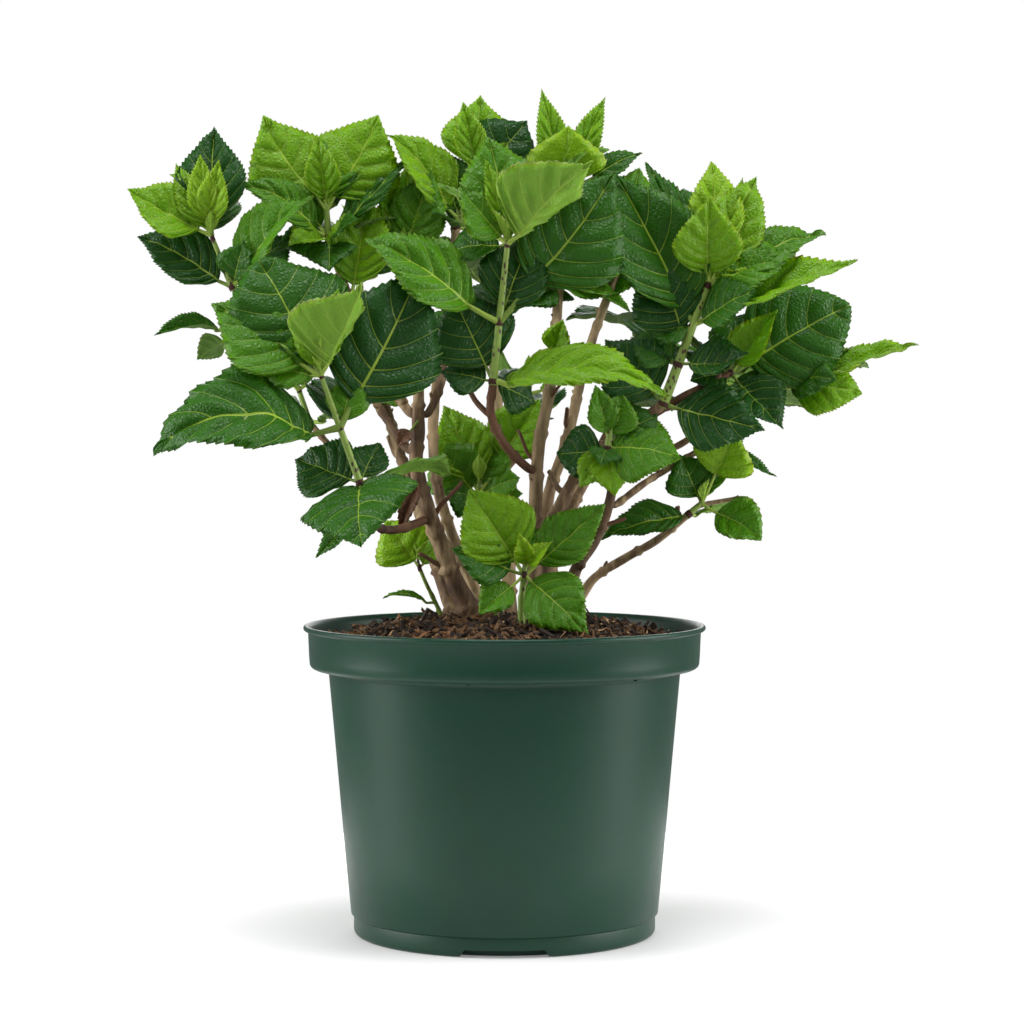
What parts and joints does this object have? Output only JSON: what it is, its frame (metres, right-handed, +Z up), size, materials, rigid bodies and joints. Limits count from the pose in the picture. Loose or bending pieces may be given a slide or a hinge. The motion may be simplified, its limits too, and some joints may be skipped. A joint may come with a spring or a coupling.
{
  "type": "potted hydrangea shrub",
  "caption": "Hydrangea shrub with woody canes and broad toothed leaves, standing in a round ribbed-lip nursery pot filled with bark mix.",
  "frame": {"origin": "centre of the pot's flat underside, where it stands on the ground", "axes": "+Z up, -Y towards the plant's front, +X to the right of someone looking at the front"},
  "size_m": [0.5751, 0.4284, 0.6131],
  "materials": {
    "pot": "satin dark green moulded plastic",
    "soil": "moist shredded bark mix",
    "old_wood": "brown and grey-tan bark",
    "green_wood": "smooth young green stem with dark spots",
    "leaves": "semi-gloss leaves from dark to yellow-green"
  },
  "bodies": {
    "root": {"pot": "pot", "soil": "soil", "cane_left": "old_wood", "cane_left_back": "old_wood", "cane_centre": "old_wood", "cane_right_inner": "old_wood", "cane_right": "old_wood", "cane_right_low": "old_wood", "cane_far_right": "old_wood", "cane_back_left": "old_wood", "cane_back": "old_wood", "cane_back_right": "old_wood", "bough_left_top": "old_wood", "bough_far_left": "old_wood", "bough_left_inner": "old_wood", "bough_left_front": "old_wood", "bough_left_behind": "old_wood", "bough_tall": "old_wood", "bough_inner": "old_wood", "bough_right_outer": "old_wood", "bough_right_tip": "old_wood", "bough_right_low": "old_wood", "bough_back_left": "old_wood", "bough_back_low": "old_wood", "bough_back_right": "old_wood", "shoot_front": "green_wood", "shoot_left": "green_wood", "shoot_back": "green_wood", "leaves_far_left": "leaves", "leaves_left_top": "leaves", "leaves_left_front": "leaves", "leaves_tall": "leaves", "leaves_right_top": "leaves", "leaves_right": "leaves", "leaves_right_tip": "leaves", "leaves_top": "leaves", "leaves_top_right": "leaves", "leaves_left_inner": "leaves", "leaves_right_inner": "leaves", "leaves_centre_back": "leaves", "leaves_inner": "leaves", "leaves_right_mid": "leaves", "leaves_right_low": "leaves", "leaves_far_low": "leaves", "leaves_left_behind": "leaves", "leaves_back_left": "leaves", "leaves_back": "leaves", "leaves_back_right": "leaves", "leaves_back_far_left": "leaves", "leaves_back_low": "leaves", "leaves_back_far_right": "leaves", "leaves_shoot_front": "leaves", "leaves_shoot_left": "leaves", "leaves_shoot_back": "leaves"}
  },
  "joints": []
}
